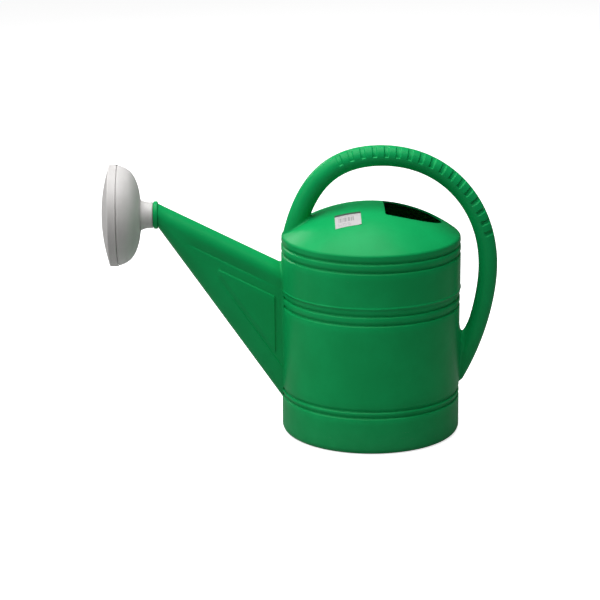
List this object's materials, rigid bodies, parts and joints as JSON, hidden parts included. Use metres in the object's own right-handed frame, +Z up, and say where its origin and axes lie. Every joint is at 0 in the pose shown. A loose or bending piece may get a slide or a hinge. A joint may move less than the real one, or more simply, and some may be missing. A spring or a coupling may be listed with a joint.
{
  "type": "watering can",
  "caption": "Round garden watering can with a domed top, rear filling mouth, arched ribbed handle, tall tapering spout and a push-on sprinkler rose.",
  "frame": {"origin": "where the tank's axis meets the ground, at the middle of the flat foot", "axes": "+Z up along the tank's axis; the spout points along -X and the handle's rear leg is on +X; the can is mirror-symmetric about the XZ plane, apart from its label"},
  "size_m": [0.5116, 0.2338, 0.3794],
  "materials": {
    "can_plastic": "mid green moulded polyethylene, semi-gloss, faint moulding mottle",
    "rose_plastic": "pale warm grey moulded polyethylene, matte",
    "label_paper": null
  },
  "bodies": {
    "can": {"tank_base": "can_plastic", "tank_wall": "can_plastic", "domed_top": "can_plastic", "spout": "can_plastic", "spout_nozzle": "can_plastic", "handle_front_arm": "can_plastic", "handle_grip": "can_plastic", "handle_rear_arm": "can_plastic", "paper_label": "label_paper"},
    "neck": {"rose_neck": "rose_plastic"},
    "housing": {"rose_housing": "rose_plastic"},
    "face": {"rose_face": "rose_plastic"}
  },
  "joints": [
    {"name": "rose_pull_off", "type": "slide", "parent": "can", "child": "neck", "axis": [-1, 0, 0], "range_m": [0, 0.04]},
    {"name": "rose_turn", "type": "hinge", "parent": "neck", "child": "housing", "pos_m": [-0.297, 0, 0.2905], "axis": [-1, 0, 0], "continuous": true},
    {"name": "face_pull_off", "type": "slide", "parent": "housing", "child": "face", "axis": [-1, 0, 0], "range_m": [0, 0.02]}
  ]
}
